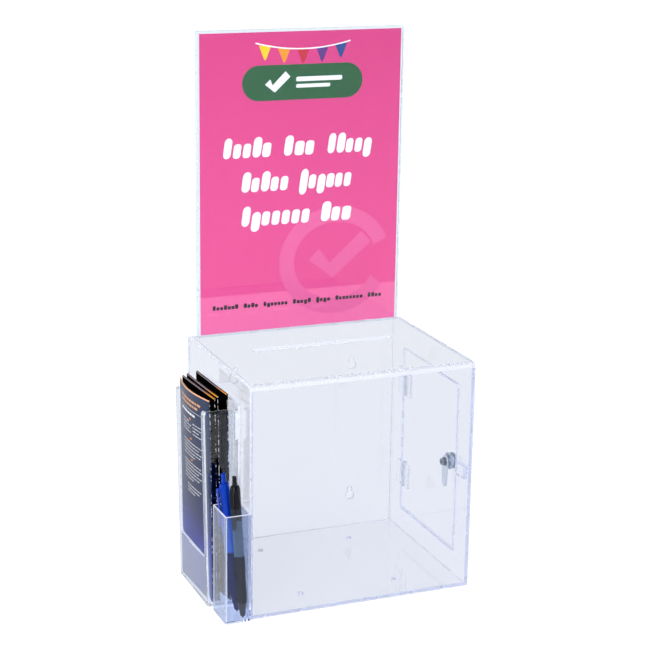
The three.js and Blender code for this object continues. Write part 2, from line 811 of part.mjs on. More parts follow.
// The six pieces of a retractable pen, standing on its point
function penPieces({ name, clipTurnShare, color, gripColor, barrelColor }) {
  const upright = (profile) => turned(profile, turnedOnZ);
  const refill = upright([
    [0, 0],
    [penPointRadius, 0],
    [refillRadius, penPointLength],
    [refillRadius, refillTop],
    [0, refillTop],
  ]);
  const nose = upright([
    [noseBoreRadius, penPointLength],
    [noseMouthRadius + penPointRadius, penPointLength],
    [noseRadius, noseLength],
    [noseBoreRadius, noseLength],
    [noseBoreRadius, penPointLength],
  ]);
  const gripFoot = noseLength + restGap;
  const gripBore = barrelCoreRadius + runGap;
  const gripMiddle = (gripFoot + gripTop) / 2;
  const gripUpper = gripTop - (gripTop - gripFoot) / 3;
  const grip = upright([
    [gripBore, gripFoot],
    [gripRadius - gripWaist, gripFoot],
    [gripRadius, gripFoot + (gripTop - gripFoot) / 5],
    [gripRadius - gripWaist, gripMiddle],
    [gripRadius - gripWaist, gripUpper],
    [gripRadius + gripBead, gripUpper],
    [gripRadius + gripBead, gripUpper + gripBead],
    [gripRadius, gripTop],
    [gripBore, gripTop],
    [gripBore, gripFoot],
  ]);
  const barrel = upright([
    [barrelBoreRadius, gripFoot],
    [barrelCoreRadius, gripFoot],
    [barrelCoreRadius, gripTop + restGap],
    [barrelRadius, gripTop + restGap],
    [barrelRadius, barrelTop],
    [upperBoreRadius - runGap, barrelTop],
    [upperBoreRadius - runGap, barrelTop + spigotLength],
    [barrelBoreRadius, barrelTop + spigotLength],
    [barrelBoreRadius, gripFoot],
  ]);
  const upperFoot = barrelTop + restGap;
  const upper = upright([
    [upperBoreRadius, upperFoot],
    [upperRadius, upperFoot],
    [upperRadius, upperTop - upperShoulder],
    [upperShoulderRadius, upperTop],
    [upperBoreRadius, upperTop],
    [upperBoreRadius, upperFoot],
  ]);
  const clipTop = upperTop - upperShoulder;
  const clipArm = new THREE.Shape();
  const wallMiddle = (upperRadius + upperBoreRadius) / 2;
  clipArm.moveTo(wallMiddle, clipTop);
  clipArm.lineTo(wallMiddle, clipTop - clipRoot);
  clipArm.lineTo(clipReach - clipThickness, clipTop - clipRoot);
  clipArm.lineTo(clipReach - clipThickness, clipTop - clipLength + clipBall);
  clipArm.lineTo(clipReach - clipThickness - clipBall, clipTop - clipLength);
  clipArm.lineTo(clipReach, clipTop - clipLength);
  clipArm.lineTo(clipReach, clipTop - clipRoot / 2);
  clipArm.lineTo(clipReach - clipThickness, clipTop);
  clipArm.closePath();
  const clip = slabY(clipArm, -clipWidth / 2, clipWidth / 2);
  const plunger = upright([
    [0, refillTop + restGap],
    [plungerRadius, refillTop + restGap],
    [plungerRadius, upperTop + plungerStep],
    [plungerTipRadius, upperTop + plungerStep],
    [plungerTipRadius, plungerTop],
    [0, plungerTop],
  ]);
  const spun = new THREE.Group();
  spun.rotation.z = clipTurnShare * 2 * Math.PI;
  spun.add(
    piece(name + "_refill", refill, refillPlastic),
    piece(name + "_nose", nose, plastic(color)),
    piece(name + "_grip", grip, rubber(gripColor)),
    piece(name + "_barrel", barrel, clearPlastic(barrelColor)),
    piece(name + "_upper_barrel", upper.add(clip), plastic(color)),
    piece(name + "_plunger", plunger, plastic(color)),
  );
  return spun;
}

// Each pen leans from its point on the holder's floor towards the back left
for (const pen of pens) {
  const place = ({ depth, width }) =>
    new THREE.Vector2(left - depth * penBoxDepth, front - penBoxAhead + width * penBoxWidth);
  const point = place(pen.pointShare);
  const lean = place(pen.topShare).sub(point);
  const rise = Math.sqrt(plungerTop ** 2 - lean.lengthSq());
  const axis = new THREE.Vector3(lean.x, lean.y, rise).normalize();
  const group = new THREE.Group();
  group.position.set(point.x, point.y, penBoxLift + penBoxFloor + restGap);
  group.quaternion.setFromUnitVectors(new THREE.Vector3(0, 0, 1), axis);
  group.add(penPieces(pen));
  ballotBox.add(group);
}

export default ballotBox;
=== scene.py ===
import json
import math

import bmesh
import bpy
from mathutils import Matrix, Vector
from mathutils.bvhtree import BVHTree
from mathutils.geometry import area_tri

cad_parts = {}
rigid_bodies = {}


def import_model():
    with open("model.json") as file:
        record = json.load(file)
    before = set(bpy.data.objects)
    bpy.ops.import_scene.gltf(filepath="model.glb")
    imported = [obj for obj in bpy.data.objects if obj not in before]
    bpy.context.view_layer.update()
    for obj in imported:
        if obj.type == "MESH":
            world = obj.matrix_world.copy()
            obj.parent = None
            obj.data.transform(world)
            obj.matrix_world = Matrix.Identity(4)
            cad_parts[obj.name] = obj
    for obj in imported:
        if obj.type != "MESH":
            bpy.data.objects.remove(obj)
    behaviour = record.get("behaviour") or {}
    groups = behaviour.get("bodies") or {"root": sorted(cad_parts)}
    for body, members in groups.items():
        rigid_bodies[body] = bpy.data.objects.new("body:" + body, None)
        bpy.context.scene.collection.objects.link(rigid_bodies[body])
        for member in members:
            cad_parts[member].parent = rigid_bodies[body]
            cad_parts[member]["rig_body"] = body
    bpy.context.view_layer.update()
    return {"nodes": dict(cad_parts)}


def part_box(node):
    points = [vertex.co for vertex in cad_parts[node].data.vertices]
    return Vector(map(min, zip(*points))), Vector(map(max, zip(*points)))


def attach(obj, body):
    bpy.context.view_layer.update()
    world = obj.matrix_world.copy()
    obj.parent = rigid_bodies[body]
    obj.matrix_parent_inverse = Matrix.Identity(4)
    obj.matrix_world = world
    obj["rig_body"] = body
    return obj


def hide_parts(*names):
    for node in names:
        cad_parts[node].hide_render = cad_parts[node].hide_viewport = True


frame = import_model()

# Clear acrylic ballot box. Lengths in the dictionaries are in mm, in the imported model's frame.
mm = 0.001
print("frame loaded:", len(frame["nodes"]), "nodes")


# small helpers

def linear(hexColour):
    # sRGB hex to the linear colour that shaders take
    parts = [int(hexColour[i:i + 2], 16) / 255 for i in (1, 3, 5)]
    return (*[c / 12.92 if c <= 0.04045 else ((c + 0.055) / 1.055) ** 2.4 for c in parts], 1)


def addNode(tree, kind, settings=None, links=None):
    # one node: settings set an input's value or a property, and links feed an input from a socket
    node = tree.nodes.new(kind)
    for name, value in (settings or {}).items():
        if isinstance(name, str) and name not in node.inputs:
            setattr(node, name, value)
        else:
            node.inputs[name].default_value = value
    for name, socket in (links or {}).items():
        tree.links.new(socket, node.inputs[name])
    return node


def emptyMaterial(name):
    material = bpy.data.materials.new(name)
    material.use_nodes = True
    material.node_tree.nodes.clear()
    return material, material.node_tree


def newMesh(name, points, faces):
    mesh = bpy.data.meshes.new(name)
    mesh.from_pydata([Vector(p) * mm for p in points], [], faces)
    work = bmesh.new()
    work.from_mesh(mesh)
    bmesh.ops.recalc_face_normals(work, faces=work.faces)
    work.to_mesh(mesh)
    work.free()
    return mesh


def newPiece(name, mesh, materials, body, nodes=(), sharpAngle=30):
    piece = bpy.data.objects.new(name, mesh)
    bpy.context.scene.collection.objects.link(piece)
    for material in materials if isinstance(materials, list) else [materials]:
        mesh.materials.append(material)
    mesh.polygons.foreach_set("use_smooth", [True] * len(mesh.polygons))
    if sharpAngle:
        mesh.set_sharp_from_angle(angle=math.radians(sharpAngle))
    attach(piece, body)
    if nodes:
        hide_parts(*nodes)
    return piece


easeSettings = {
    "merge": 0.002,        # points closer than this become one
    "flat": 0.4,           # faces that turn by less than these degrees become one
    "sharp": 35,           # edges that turn by more than these degrees are eased
    "segments": 2,
    "cutDepth": 5.0,       # a face with more material than this behind it was cut
    "under": 0.01,         # how far beneath the face that depth is measured from
    "bendSide": 0.5,       # a bend's faces turn towards x by less than this part of their direction,
    "bendTurn": 0.05,      # and towards y and z by more than this
}


def cutFaces(work, s):
    # the faces where a sheet was cut: behind them lies more material than any wall is thick
    middles = {}
    for loops in work.calc_loop_triangles():
        a, b, c = (loop.vert.co for loop in loops)
        area = area_tri(a, b, c)
        if area > middles.get(loops[0].face, (0,))[0]:
            middles[loops[0].face] = (area, (a + b + c) / 3)
    solid = BVHTree.FromBMesh(work)
    found = []
    for face, (area, middle) in middles.items():
        depth = solid.ray_cast(middle - face.normal * s["under"] * mm, -face.normal)[3]
        if depth is not None and depth > s["cutDepth"] * mm:
            found.append(face)
    return found


def bendFaces(work, s):
    # the faces of a bend between an upright and a level sheet
    return [f for f in work.faces if abs(f.normal.x) < s["bendSide"]
            and min(abs(f.normal.y), abs(f.normal.z)) > s["bendTurn"]]


def easedCopy(name, node, material, ease, gap=0.0, cut=None, bend=None):
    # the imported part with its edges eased; gap draws the faces in, so that glued sheets don't share a face,
    # cut is the finish of the faces where the sheet was cut, and bend the finish of its bend
    s = easeSettings
    source = frame["nodes"][node]
    work = bmesh.new()
    work.from_mesh(source.data)
    bmesh.ops.remove_doubles(work, verts=work.verts, dist=s["merge"] * mm)
    bmesh.ops.dissolve_limit(work, angle_limit=math.radians(s["flat"]), verts=work.verts, edges=work.edges)
    bmesh.ops.recalc_face_normals(work, faces=work.faces)
    work.normal_update()
    if gap:
        for vert, step in [(v, v.normal * v.calc_shell_factor() * gap * mm) for v in work.verts]:
            vert.co -= step
    if cut:
        for face in cutFaces(work, s):
            face.material_index = 1
        for face in bendFaces(work, s) if bend else []:
            face.material_index = 2
    mesh = bpy.data.meshes.new(name)
    work.to_mesh(mesh)
    work.free()
    finishes = [finish for finish in (material, cut, bend) if finish]
    piece = newPiece(name, mesh, finishes, source["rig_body"], [node], sharpAngle=None)
    bevel = piece.modifiers.new("easedEdges", "BEVEL")
    bevel.width = ease * mm
    bevel.segments = s["segments"]
    bevel.limit_method = "ANGLE"
    bevel.angle_limit = math.radians(s["sharp"])
    bevel.use_clamp_overlap = False
    bevel.material = 1 if cut else -1
    bevel.loop_slide = False
    flat = piece.modifiers.new("flatFaces", "WEIGHTED_NORMAL")
    flat.mode = "FACE_AREA"
    flat.weight = 100
    return piece


# camera, lights and floor

cameraSettings = {
    "place": (-628.9, -1512.6, 707.8),
    "azimuth": -22.445,
    "elevation": 15.587,
    "roll": 0.827,
    "focalPixels": 1763.4,    # focal length in pixels of the square frame
    "framePixels": 650,
    "sensor": 36,
    "reach": 50000,
}


def makeCamera(s):
    turn, rise, roll = (math.radians(s[k]) for k in ("azimuth", "elevation", "roll"))
    back = Vector((math.sin(turn) * math.cos(rise), -math.cos(turn) * math.cos(rise), math.sin(rise)))
    right = Vector((math.cos(turn), math.sin(turn), 0))
    up = back.cross(right)
    right, up = right * math.cos(roll) + up * math.sin(roll), up * math.cos(roll) - right * math.sin(roll)
    data = bpy.data.cameras.new("camera")
    data.sensor_width = s["sensor"]
    data.lens = s["focalPixels"] / s["framePixels"] * s["sensor"]
    data.clip_end = s["reach"] * mm
    camera = bpy.data.objects.new("camera", data)
    place = Matrix((right, up, back)).transposed().to_4x4()
    place.translation = Vector(s["place"]) * mm
    camera.matrix_world = place
    bpy.context.scene.collection.objects.link(camera)
    bpy.context.scene.camera = camera


studioSettings = {
    "sweep": "#FFFFFF",       # the white paper sweep, seen behind the object and through it
    "room": "#20262E",        # the dark room behind the camera, which only reflections see
    "mirrored": 0.5,          # share of the sweep's light that mirror-like reflections show
    "roomStart": -0.15,       # where the room begins, as the Y part of the direction
    "roomEnd": -0.75,
    "lamps": [
        {"name": "leftSoftbox", "place": (-1500, -1300, 1100), "size": 1300, "watts": 24},
        {"name": "rightSoftbox", "place": (1700, -900, 1300), "size": 900, "watts": 6},
    ],
    "target": (0, 0, 200),
    # a black flag takes the floor's glare off the poster, and a white card and strip keep its pink off
    # the lid; the card and strip glow and the flag is black, and all three show only in reflections and
    # through the clear sheets and light nothing: painted reflections. Each is an upright rectangle, given
    # as its reach in x, its y and its reach in z, and none shows to the camera
    "flag": ((134, 452), -650, (61, 450)),
    "card": ((-118, 260), 82.3, (228.5, 528)),
    "strip": ((-118, 112), 82.8, (225.1, 228.4)),
    "glow": {"flag": 0.0, "card": 0.88, "strip": 1.0},
    "floorLift": -0.6,        # the floor's height, a hair beneath the base
    "floorWidth": 30000,
    "floorDim": (-60, -260, 0.9),    # between these two y, reflections lose up to this share
    "paperGlow": 0.86,        # how bright the paper shows by itself, and the grey that takes light on top
    "paperGrey": 0.2,
}


def mirrorRay(tree):
    # 1 where the ray was last mirrored, and 0 where it was refracted or is another kind
    ray = addNode(tree, "ShaderNodeLightPath")
    mirror = addNode(tree, "ShaderNodeMath", {"operation": "SUBTRACT", "use_clamp": True},
                     {0: ray.outputs["Is Glossy Ray"], 1: ray.outputs["Is Transmission Ray"]})
    return mirror.outputs[0]


def makeStudio(s):
    world = bpy.data.worlds.new("studio")
    world.use_nodes = True
    tree = world.node_tree
    tree.nodes.clear()
    towards = addNode(tree, "ShaderNodeTexCoord")
    axes = addNode(tree, "ShaderNodeSeparateXYZ", links={0: towards.outputs["Generated"]})
    room = addNode(tree, "ShaderNodeMapRange", {"interpolation_type": "SMOOTHSTEP",
                   "From Min": s["roomStart"], "From Max": s["roomEnd"]}, {"Value": axes.outputs["Y"]})
    mirror = mirrorRay(tree)
    share = addNode(tree, "ShaderNodeMath", {"operation": "MULTIPLY"},
                    {0: room.outputs["Result"], 1: mirror})
    colour = addNode(tree, "ShaderNodeMix", {"data_type": "RGBA", 6: linear(s["sweep"]),
                     7: linear(s["room"])}, {0: share.outputs[0]})
    seen = addNode(tree, "ShaderNodeMapRange", {"To Min": 1.0, "To Max": s["mirrored"]}, {"Value": mirror})
    light = addNode(tree, "ShaderNodeBackground", links={"Color": colour.outputs[2],
                    "Strength": seen.outputs["Result"]})
    addNode(tree, "ShaderNodeOutputWorld", links={"Surface": light.outputs[0]})
    bpy.context.scene.world = world
    for lamp in s["lamps"]:
        data = bpy.data.lights.new(lamp["name"], "AREA")
        data.size = lamp["size"] * mm
        data.energy = lamp["watts"]
        box = bpy.data.objects.new(lamp["name"], data)
        box.location = Vector(lamp["place"]) * mm
        aim = Vector(s["target"]) - Vector(lamp["place"])
        box.rotation_euler = aim.to_track_quat("-Z", "Y").to_euler()
        bpy.context.scene.collection.objects.link(box)
    half, z = s["floorWidth"] / 2, s["floorLift"]
    corners = [(-half, -half, z), (half, -half, z), (half, half, z), (-half, half, z)]
    mesh = newMesh("floor", corners, [(0, 1, 2, 3)])
    floor = bpy.data.objects.new("floor", mesh)
    mesh.materials.append(sweepPaper(s))
    bpy.context.scene.collection.objects.link(floor)
    for name, level in s["glow"].items():
        (x0, x1), y, (z0, z1) = s[name]
        mesh = bpy.data.meshes.new(name)
        corners = [(x0, y, z0), (x1, y, z0), (x1, y, z1), (x0, y, z1)]
        mesh.from_pydata([Vector(p) * mm for p in corners], [], [(0, 1, 2, 3)])
        mesh.materials.append(paintedReflectionPanel(name + "Cloth", level))
        card = bpy.data.objects.new(name, mesh)
        card.visible_camera = card.visible_diffuse = card.visible_shadow = False
        bpy.context.scene.collection.objects.link(card)


def paintedReflectionPanel(name, level):
    # the flag, card and strip show their front, towards -Y, as one even glowing tone, and their back not at
    # all: painted reflections, seen only in reflections and through clear sheets
    material, tree = emptyMaterial(name)
    tone = addNode(tree, "ShaderNodeEmission", {"Color": linear("#FFFFFF"), "Strength": level})
    clear = addNode(tree, "ShaderNodeBsdfTransparent")
    side = addNode(tree, "ShaderNodeNewGeometry")
    both = addNode(tree, "ShaderNodeMixShader", links={0: side.outputs["Backfacing"], 1: tone.outputs[0],
                   2: clear.outputs[0]})
    addNode(tree, "ShaderNodeOutputMaterial", links={"Surface": both.outputs[0]})
    return material


def sweepPaper(s):
    # white background paper, bright enough to show as plain white, and dimmer in mirror-like reflections
    material, tree = emptyMaterial("whiteSweepPaper")
    spot = {"Vector": addNode(tree, "ShaderNodeTexCoord").outputs["Object"]}
    axes = addNode(tree, "ShaderNodeSeparateXYZ", links=spot)
    start, end, loss = s["floorDim"]
    far = addNode(tree, "ShaderNodeMapRange", {"interpolation_type": "SMOOTHSTEP", "From Min": start * mm,
                  "From Max": end * mm, "To Min": 1 - s["mirrored"], "To Max": loss},
                  {"Value": axes.outputs["Y"]})
    dim = addNode(tree, "ShaderNodeMath", {"operation": "MULTIPLY"},
                  {0: far.outputs["Result"], 1: mirrorRay(tree)})
    strength = addNode(tree, "ShaderNodeMapRange", {"To Min": s["paperGlow"], "To Max": 0.0},
                       {"Value": dim.outputs[0]})
    fibre = addNode(tree, "ShaderNodeTexNoise", {"Scale": 300.0, "Detail": 3.0}, spot)
    relief = addNode(tree, "ShaderNodeBump", {"Strength": 0.05, "Distance": 0.0002},
                     {"Height": fibre.outputs[0]})
    paper = addNode(tree, "ShaderNodeBsdfDiffuse", {"Color": (*[s["paperGrey"]] * 3, 1)},
                    {"Normal": relief.outputs[0]})
    glow = addNode(tree, "ShaderNodeEmission", {"Color": linear("#FFFFFF")},
                   {"Strength": strength.outputs["Result"]})
    both = addNode(tree, "ShaderNodeAddShader", links={0: paper.outputs[0], 1: glow.outputs[0]})
    addNode(tree, "ShaderNodeOutputMaterial", links={"Surface": both.outputs[0]})
    return material


makeCamera(cameraSettings)
makeStudio(studioSettings)
scene = bpy.context.scene
scene.view_settings.view_transform = "Standard"
# a sheet seen on edge pipes light through many inner reflections, and would end in black with fewer bounces
bounces = {"max_bounces": 96, "transmission_bounces": 96, "glossy_bounces": 96,
           "transparent_max_bounces": 40}
for kind, count in bounces.items():
    setattr(scene.cycles, kind, count)
print("camera, lights and floor made")


# materials; a pattern's scale counts its marks in a metre

def passShadows(tree, shader, tint):
    # the end of a clear material: shadow rays pass it, tinted, so that light reaches what lies behind
    shade = addNode(tree, "ShaderNodeBsdfTransparent", {"Color": linear(tint)})
    ray = addNode(tree, "ShaderNodeLightPath")
    both = addNode(tree, "ShaderNodeMixShader", links={0: ray.outputs["Is Shadow Ray"], 1: shader.outputs[0],
                   2: shade.outputs[0]})
    addNode(tree, "ShaderNodeOutputMaterial", links={"Surface": both.outputs[0]})


def cutAcrylicPaintedGlow(name, tint, clear=0.5):
    # the cut edge of a clear sheet, scraped and flame-polished, behind a satin skin with fine scraper lines:
    # only the clear share lets light through, and the rest is an opaque near-white skin whose soft glow
    # stands in for the light piped along the sheet, a painted glow
    material, tree = emptyMaterial(name)
    spot = {"Vector": addNode(tree, "ShaderNodeTexCoord").outputs["Object"]}
    # scraper lines 0.7 mm apart, and pools of polish 17 mm across
    scrape = addNode(tree, "ShaderNodeTexNoise", {"Scale": 1400.0, "Detail": 2.0}, spot)
    pool = addNode(tree, "ShaderNodeTexNoise", {"Scale": 60.0, "Detail": 2.0}, spot)
    dull = addNode(tree, "ShaderNodeMapRange", {"To Min": 0.15, "To Max": 0.4}, {"Value": pool.outputs[0]})
    relief = addNode(tree, "ShaderNodeBump", {"Strength": 0.08, "Distance": 0.0001},
                     {"Height": scrape.outputs[0]})
    edge = addNode(tree, "ShaderNodeBsdfPrincipled", {"Base Color": linear(tint), "IOR": 1.49,
                   "Transmission Weight": clear},
                   {"Roughness": dull.outputs["Result"], "Normal": relief.outputs[0]})
    passShadows(tree, edge, tint)
    return material


def castAcrylic(name, tint, haze=0.006, wave=0.02, shine=0.3, clearFrom=None):
    # clear PMMA, cast between glass plates and polished: see-through with a cool tint, sharp reflections,
    # and a very slight wander in them where the sheet isn't dead flat
    material, tree = emptyMaterial(name)
    spot = {"Vector": addNode(tree, "ShaderNodeTexCoord").outputs["Object"]}
    # handling marks 25 mm across, and waves 110 mm long
    rub = addNode(tree, "ShaderNodeTexNoise", {"Scale": 40.0, "Detail": 5.0, "Roughness": 0.6}, spot)
    dull = addNode(tree, "ShaderNodeMapRange", {"From Min": 0.45, "From Max": 0.75, "To Min": haze,
                   "To Max": haze * 4}, {"Value": rub.outputs[0]})
    roll = addNode(tree, "ShaderNodeTexNoise", {"Scale": 9.0, "Detail": 1.0}, spot)
    relief = addNode(tree, "ShaderNodeBump", {"Strength": wave, "Distance": 0.002},
                     {"Height": roll.outputs[0]})
    sheet = addNode(tree, "ShaderNodeBsdfPrincipled", {"Base Color": linear(tint), "IOR": 1.49,
                    "Specular IOR Level": shine, "Transmission Weight": 1.0},
                    {"Roughness": dull.outputs["Result"], "Normal": relief.outputs[0]})
    if clearFrom is not None:  # the plate behind a moulded tray is clearer than the tray, beyond this x
        axes = addNode(tree, "ShaderNodeSeparateXYZ", links=spot)
        plate = addNode(tree, "ShaderNodeMath", {"operation": "GREATER_THAN", 1: clearFrom * mm},
                        {0: axes.outputs["X"]})
        tone = addNode(tree, "ShaderNodeMix", {"data_type": "RGBA", 6: linear(tint), 7: linear("#FEFEFF")},
                       {0: plate.outputs[0]})
        tree.links.new(tone.outputs[2], sheet.inputs["Base Color"])
    passShadows(tree, sheet, tint)
    return material


def plated(name, colour, roughness, wear):
    # bright plating over cast or turned metal: mirror-like, softened by fine swirl marks and finger marks
    material, tree = emptyMaterial(name)
    spot = {"Vector": addNode(tree, "ShaderNodeTexCoord").outputs["Object"]}
    # swirls 1.1 mm apart
    marks = addNode(tree, "ShaderNodeTexNoise", {"Scale": 900.0, "Detail": 4.0, "Distortion": 0.6}, spot)
    dull = addNode(tree, "ShaderNodeMapRange", {"To Min": roughness, "To Max": roughness + wear},
                   {"Value": marks.outputs[0]})
    relief = addNode(tree, "ShaderNodeBump", {"Strength": 0.06, "Distance": 0.0001},
                     {"Height": marks.outputs[0]})
    metal = addNode(tree, "ShaderNodeBsdfPrincipled", {"Base Color": linear(colour), "Metallic": 1.0},
                    {"Roughness": dull.outputs["Result"], "Normal": relief.outputs[0]})
    addNode(tree, "ShaderNodeOutputMaterial", links={"Surface": metal.outputs[0]})
    return material


def mouldedPlastic(name, colour, roughness, grain, grainSize, mottle=0.06, shine=0.5):
    # injection-moulded plastic or rubber: an even colour, a skin whose fine grain blurs the highlight
    material, tree = emptyMaterial(name)
    spot = {"Vector": addNode(tree, "ShaderNodeTexCoord").outputs["Object"]}
    skin = addNode(tree, "ShaderNodeTexNoise", {"Scale": 1000.0 / grainSize, "Detail": 3.0}, spot)
    cloud = addNode(tree, "ShaderNodeTexNoise", {"Scale": 120.0, "Detail": 2.0}, spot)  # 8 mm across
    value = addNode(tree, "ShaderNodeMapRange", {"To Min": 1.0 - mottle, "To Max": 1.0 + mottle},
                    {"Value": cloud.outputs[0]})
    tone = addNode(tree, "ShaderNodeHueSaturation", {"Color": linear(colour)},
                   {"Value": value.outputs["Result"]})
    dull = addNode(tree, "ShaderNodeMapRange", {"To Min": roughness * 0.8, "To Max": roughness * 1.2},
                   {"Value": skin.outputs[0]})
    relief = addNode(tree, "ShaderNodeBump", {"Strength": grain, "Distance": 0.0001},
                     {"Height": skin.outputs[0]})
    body = addNode(tree, "ShaderNodeBsdfPrincipled", {"IOR": 1.5, "Specular IOR Level": shine},
                   {"Base Color": tone.outputs[0], "Roughness": dull.outputs["Result"],
                    "Normal": relief.outputs[0]})
    addNode(tree, "ShaderNodeOutputMaterial", links={"Surface": body.outputs[0]})
    return material


def clearTintedPlastic(name, colour, clearness, roughness):
    # moulded polycarbonate, tinted: light comes through, softened by the wall and the refill behind it
    material, tree = emptyMaterial(name)
    spot = {"Vector": addNode(tree, "ShaderNodeTexCoord").outputs["Object"]}
    flow = addNode(tree, "ShaderNodeTexNoise", {"Scale": 150.0, "Detail": 2.0}, spot)  # 7 mm across
    dull = addNode(tree, "ShaderNodeMapRange", {"To Min": roughness * 0.6, "To Max": roughness * 1.4},
                   {"Value": flow.outputs[0]})
    relief = addNode(tree, "ShaderNodeBump", {"Strength": 0.04, "Distance": 0.0002},
                     {"Height": flow.outputs[0]})
    wall = addNode(tree, "ShaderNodeBsdfPrincipled", {"Base Color": linear(colour), "IOR": 1.58,
                   "Transmission Weight": clearness}, {"Roughness": dull.outputs["Result"],
                   "Normal": relief.outputs[0]})
    passShadows(tree, wall, colour)
    return material


def printInk(name, colour, roughness=0.4, shine=0.3):
    # offset ink on coated paper: flat colour with the faint mottle of the paper under it
    material, tree = emptyMaterial(name)
    spot = {"Vector": addNode(tree, "ShaderNodeTexCoord").outputs["Object"]}
    # the paper's fibres, drawn 1.4 mm apart, coarser than real ones, so that they show
    paper = addNode(tree, "ShaderNodeTexNoise", {"Scale": 700.0, "Detail": 3.0}, spot)
    value = addNode(tree, "ShaderNodeMapRange", {"To Min": 0.97, "To Max": 1.03},
                    {"Value": paper.outputs[0]})
    tone = addNode(tree, "ShaderNodeHueSaturation", {"Color": linear(colour)},
                   {"Value": value.outputs["Result"]})
    ink = addNode(tree, "ShaderNodeBsdfPrincipled", {"Roughness": roughness, "Specular IOR Level": shine},
                  {"Base Color": tone.outputs[0]})
    addNode(tree, "ShaderNodeOutputMaterial", links={"Surface": ink.outputs[0]})
    return material


boxAcrylic = castAcrylic("castAcrylic", "#E5E8F1")
clearAcrylic = castAcrylic("clearestAcrylic", "#FBFCFE")
trayAcrylic = castAcrylic("mouldedAcrylic", "#F0F5FD", haze=0.01, wave=0.05, shine=0.15, clearFrom=-116.3)
sideAcrylic = castAcrylic("sideAcrylic", "#ECEFF8")
holderAcrylic = castAcrylic("holderAcrylic", "#DFE8FC", haze=0.01, wave=0.03, shine=0.12)
pocketAcrylic = castAcrylic("thinAcrylic", "#F4F7FC")
# the cut edges and the bend carry an opaque near-white share in place of light piped along the sheet: a
# painted glow, strongest on the tray's edges and faintest on the bend
boxEdge = cutAcrylicPaintedGlow("castAcrylicEdge", "#EEF0FA")
trayEdge = cutAcrylicPaintedGlow("mouldedAcrylicEdge", "#EEF2FC", clear=0.3)
paintedGlowBend = cutAcrylicPaintedGlow("castAcrylicBend", "#EDEFF7", clear=0.86)
pocketEdge = cutAcrylicPaintedGlow("thinAcrylicEdge", "#DDF6FF")
camZinc = plated("zincPlatedCam", "#DDE4EC", 0.25, 0.12)
lockChrome = plated("chromePlatedZinc", "#AEB9C8", 0.04, 0.06)
plainSteel = plated("zincPlatedSteel", "#8E97A4", 0.14, 0.1)
blueAbs = mouldedPlastic("blueAbs", "#0034A6", 0.16, 0.03, 0.4, shine=0.3)
blackAbs = mouldedPlastic("blackAbs", "#06090F", 0.12, 0.03, 0.4)
navyRubber = mouldedPlastic("navyRubber", "#0A1D4C", 0.5, 0.12, 0.25, shine=0.0)
blackRubber = mouldedPlastic("charcoalRubber", "#121923", 0.5, 0.12, 0.25, shine=0.0)
refillTube = mouldedPlastic("polypropyleneTube", "#20262E", 0.3, 0.03, 0.4)
blueClear = clearTintedPlastic("bluePolycarbonate", "#107EE0", 0.6, 0.12)
smokeClear = clearTintedPlastic("smokePolycarbonate", "#587480", 0.6, 0.12)
print("materials made")


# clear sheets, glued: each eased along its edges and held a hair away from its neighbours

acrylicSettings = {
    "gap": 0.04,
    "pieces": [
        ("frontAndTopSheet", "front_top_panel", "box", 0.35),
        ("backSheet", "back_panel", "clear", 0.3),
        ("leftSheet", "left_side_panel", "side", 0.3),
        ("rightSheet", "right_side_panel", "clear", 0.3),
        ("baseSheet", "base_panel", "clear", 0.3),
        ("door", "door_panel", "clear", 0.4),
        ("catchBlock", "catch_block", "clear", 0.5),
        ("posterPocket", "header_pocket", "pocket", 0.25),
        ("leafletTray", "leaflet_dispenser", "tray", 0.22),
        ("penBox", "pen_holder", "holder", 0.3),
        ("upperHingeWallLeaf", "hinge_upper_wall_leaf", "hinge", 0.15),
        ("upperHingeDoorLeaf", "hinge_upper_door_leaf", "hinge", 0.15),
        ("lowerHingeWallLeaf", "hinge_lower_wall_leaf", "hinge", 0.15),
        ("lowerHingeDoorLeaf", "hinge_lower_door_leaf", "hinge", 0.15),
    ],
}
acrylics = {
    "box": (boxAcrylic, boxEdge),
    "side": (sideAcrylic, boxEdge),
    "pocket": (pocketAcrylic, pocketEdge),
    "tray": (trayAcrylic, trayEdge),
    "holder": (holderAcrylic, trayEdge),
    "clear": (clearAcrylic, boxEdge),
    "hinge": (clearAcrylic, None),
}
for pieceName, node, kind, ease in acrylicSettings["pieces"]:
    face, edge = acrylics[kind]
    easedCopy(pieceName, node, face, ease, acrylicSettings["gap"], cut=edge,
              bend=paintedGlowBend if node == "front_top_panel" else None)
print("clear sheets made")


# lock and pins

metalSettings = [
    ("lockHousing", "lock_housing", lockChrome, "chrome", 0.12),
    ("lockNut", "lock_nut", lockChrome, "chrome", 0.25),
    ("lockCore", "lock_cylinder", plainSteel, "steel", 0.1),
    ("lockCam", "lock_cam", camZinc, "chrome", 0.15),
    ("camWasher", "cam_washer", plainSteel, "steel", 0.08),
    ("camScrew", "cam_screw", plainSteel, "steel", 0.1),
    ("upperHingePin", "hinge_upper_pin", plainSteel, "steel", 0.1),
    ("lowerHingePin", "hinge_lower_pin", plainSteel, "steel", 0.1),
]
for pieceName, node, material, slot, ease in metalSettings:
    easedCopy(pieceName, node, material, ease)
print("lock and pins made")


# pens

